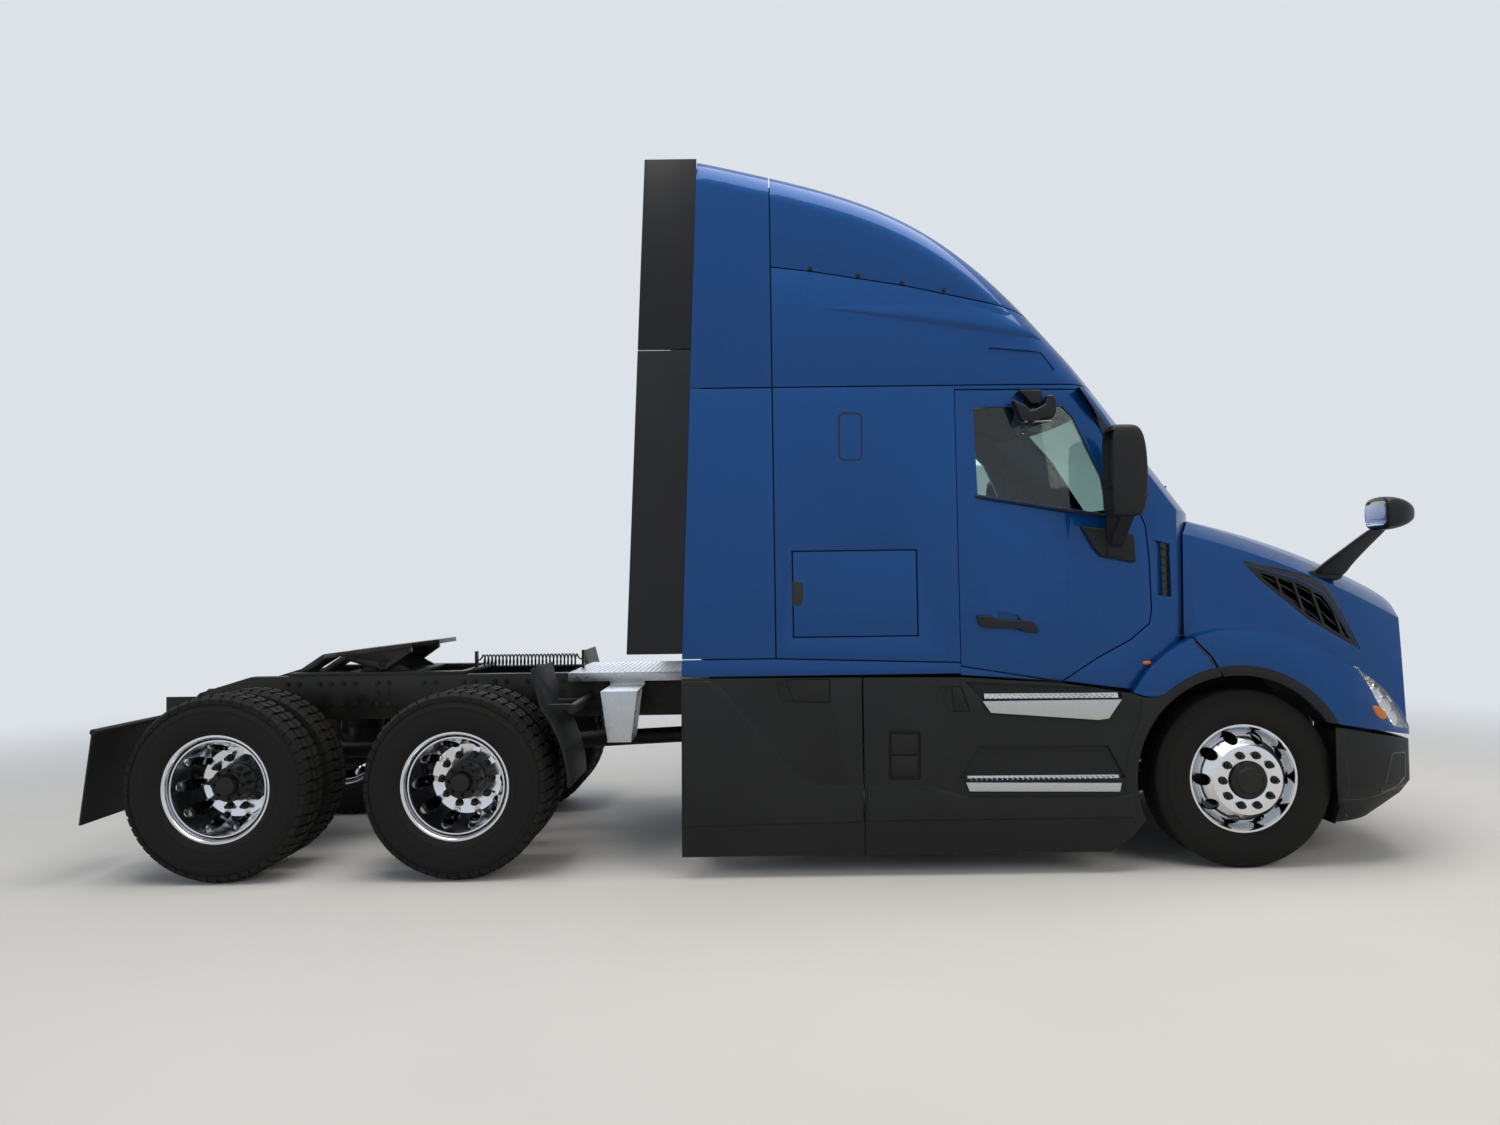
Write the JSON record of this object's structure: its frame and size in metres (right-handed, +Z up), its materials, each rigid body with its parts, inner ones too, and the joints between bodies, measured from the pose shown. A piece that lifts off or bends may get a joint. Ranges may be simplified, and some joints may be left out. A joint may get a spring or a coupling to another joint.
{
  "type": "semi truck tractor unit",
  "caption": "Conventional long-nose tractor unit with a high-roof sleeper cab, tilting hood, skirts, steered front axle, twin-tyred tandem and fifth wheel.",
  "frame": {"origin": "on the ground under the middle of the truck, half way between the front of the bumper and the mud flaps", "axes": "+X to the front of the truck, +Y to its left, +Z up"},
  "size_m": [7.7, 3.07, 4.1111],
  "materials": {
    "blue_paint": "metallic gloss",
    "chassis_black": "satin",
    "black_plastic": "textured",
    "gloss_black": "gloss",
    "tyre_rubber": "matte",
    "bright_aluminium": "polished",
    "cast_steel": "painted",
    "clear_glass": "tinted",
    "lamp_lens": "clear",
    "red_lens": "gloss",
    "cabin_plastic": "grained",
    "seat_cloth": "woven",
    "hose_rubber": "matte"
  },
  "bodies": {
    "chassis": {"frame": "chassis_black", "axles": "cast_steel", "suspension": "chassis_black", "powertrain": "chassis_black", "fuel_tanks": "bright_aluminium", "bumper": "black_plastic", "skirts": "black_plastic", "deck_and_steps": "bright_aluminium", "rear_fenders": "black_plastic", "tail_lamps": "red_lens", "fifth_wheel_base": "cast_steel", "coil_hose": "hose_rubber", "sleeper_panels": "blue_paint", "roof_panels": "blue_paint", "cab_panels": "blue_paint", "extenders": "black_plastic", "windscreen": "clear_glass", "cabin_lining": "cabin_plastic", "inner_ribs": "cabin_plastic", "seats_and_bunk": "seat_cloth"},
    "hood": {"hood": "blue_paint", "hood_trim": "black_plastic", "headlamps": "lamp_lens", "hood_mirrors": "black_plastic"},
    "steering_wheel": {"steering_wheel": "cabin_plastic"},
    "tie_rod": {"tie_rod": "cast_steel"},
    "fifth_wheel_plate": {"fifth_wheel_plate": "cast_steel"},
    "door_right": {"door_right": "blue_paint", "door_glass_right": "clear_glass", "door_fittings_right": "black_plastic"},
    "luggage_door_right": {"luggage_door_right": "blue_paint"},
    "knuckle_right": {"knuckle_right": "cast_steel"},
    "door_left": {"door_left": "blue_paint", "door_glass_left": "clear_glass", "door_fittings_left": "black_plastic"},
    "luggage_door_left": {"luggage_door_left": "blue_paint"},
    "knuckle_left": {"knuckle_left": "cast_steel"},
    "front_wheel_right": {"front_tyre_right": "tyre_rubber", "front_wheel_right": "bright_aluminium"},
    "drive_wheels_right": {"drive_tyres_right": "tyre_rubber", "drive_wheels_right": "bright_aluminium"},
    "rear_wheels_right": {"rear_tyres_right": "tyre_rubber", "rear_wheels_right": "bright_aluminium"},
    "front_wheel_left": {"front_tyre_left": "tyre_rubber", "front_wheel_left": "bright_aluminium"},
    "drive_wheels_left": {"drive_tyres_left": "tyre_rubber", "drive_wheels_left": "bright_aluminium"},
    "rear_wheels_left": {"rear_tyres_left": "tyre_rubber", "rear_wheels_left": "bright_aluminium"}
  },
  "joints": [
    {"name": "hood_tilt", "type": "hinge", "parent": "chassis", "child": "hood", "pos_m": [3.73, 0, 0.575], "axis": [0, 1, 0], "range_deg": [0, 65]},
    {"name": "door_hinge_right", "type": "hinge", "parent": "chassis", "child": "door_right", "pos_m": [2.11, -1.194, 1.6], "axis": [0, 0, 1], "range_deg": [0, 68]},
    {"name": "luggage_hinge_right", "type": "hinge", "parent": "chassis", "child": "luggage_door_right", "pos_m": [0.797, -1.2125, 1.55], "axis": [0, 0, 1], "range_deg": [0, 90]},
    {"name": "door_hinge_left", "type": "hinge", "parent": "chassis", "child": "door_left", "pos_m": [2.11, 1.194, 1.6], "axis": [0, 0, -1], "range_deg": [0, 68]},
    {"name": "luggage_hinge_left", "type": "hinge", "parent": "chassis", "child": "luggage_door_left", "pos_m": [0.797, 1.2125, 1.55], "axis": [0, 0, -1], "range_deg": [0, 90]},
    {"name": "steer_right", "type": "hinge", "parent": "chassis", "child": "knuckle_right", "pos_m": [2.6, -0.885, 0.496], "axis": [0, 0, 1], "range_deg": [-38, 38]},
    {"name": "steer_left", "type": "hinge", "parent": "chassis", "child": "knuckle_left", "pos_m": [2.6, 0.885, 0.496], "axis": [0, 0, 1], "range_deg": [-38, 38]},
    {"name": "tie_rod_pivot", "type": "hinge", "parent": "knuckle_right", "child": "tie_rod", "pos_m": [2.43, -0.885, 0.4], "axis": [0, 0, 1], "range_deg": [-38, 38]},
    {"name": "steering_column", "type": "hinge", "parent": "chassis", "child": "steering_wheel", "pos_m": [1.83, 0.52, 1.96], "axis": [-0.6402, 0, 0.7682], "range_deg": [-640, 640]},
    {"name": "front_spin_right", "type": "hinge", "parent": "knuckle_right", "child": "front_wheel_right", "pos_m": [2.6, -1.045, 0.496], "axis": [0, 1, 0], "continuous": true},
    {"name": "drive_spin_right", "type": "hinge", "parent": "chassis", "child": "drive_wheels_right", "pos_m": [-1.78, -0.9215, 0.52], "axis": [0, 1, 0], "continuous": true},
    {"name": "rear_spin_right", "type": "hinge", "parent": "chassis", "child": "rear_wheels_right", "pos_m": [-3.101, -0.9215, 0.52], "axis": [0, 1, 0], "continuous": true},
    {"name": "front_spin_left", "type": "hinge", "parent": "knuckle_left", "child": "front_wheel_left", "pos_m": [2.6, 1.045, 0.496], "axis": [0, 1, 0], "continuous": true},
    {"name": "drive_spin_left", "type": "hinge", "parent": "chassis", "child": "drive_wheels_left", "pos_m": [-1.78, 0.9215, 0.52], "axis": [0, 1, 0], "continuous": true},
    {"name": "rear_spin_left", "type": "hinge", "parent": "chassis", "child": "rear_wheels_left", "pos_m": [-3.101, 0.9215, 0.52], "axis": [0, 1, 0], "continuous": true},
    {"name": "fifth_wheel_tilt", "type": "hinge", "parent": "chassis", "child": "fifth_wheel_plate", "pos_m": [-2.48, 0, 1.14], "axis": [0, 1, 0], "range_deg": [0, 20]}
  ],
  "couplings": [
    {"joint": "steer_left", "follows": "steer_right", "ratio": 1},
    {"joint": "tie_rod_pivot", "follows": "steer_right", "ratio": -1},
    {"joint": "steering_column", "follows": "steer_right", "ratio": 16.5}
  ]
}
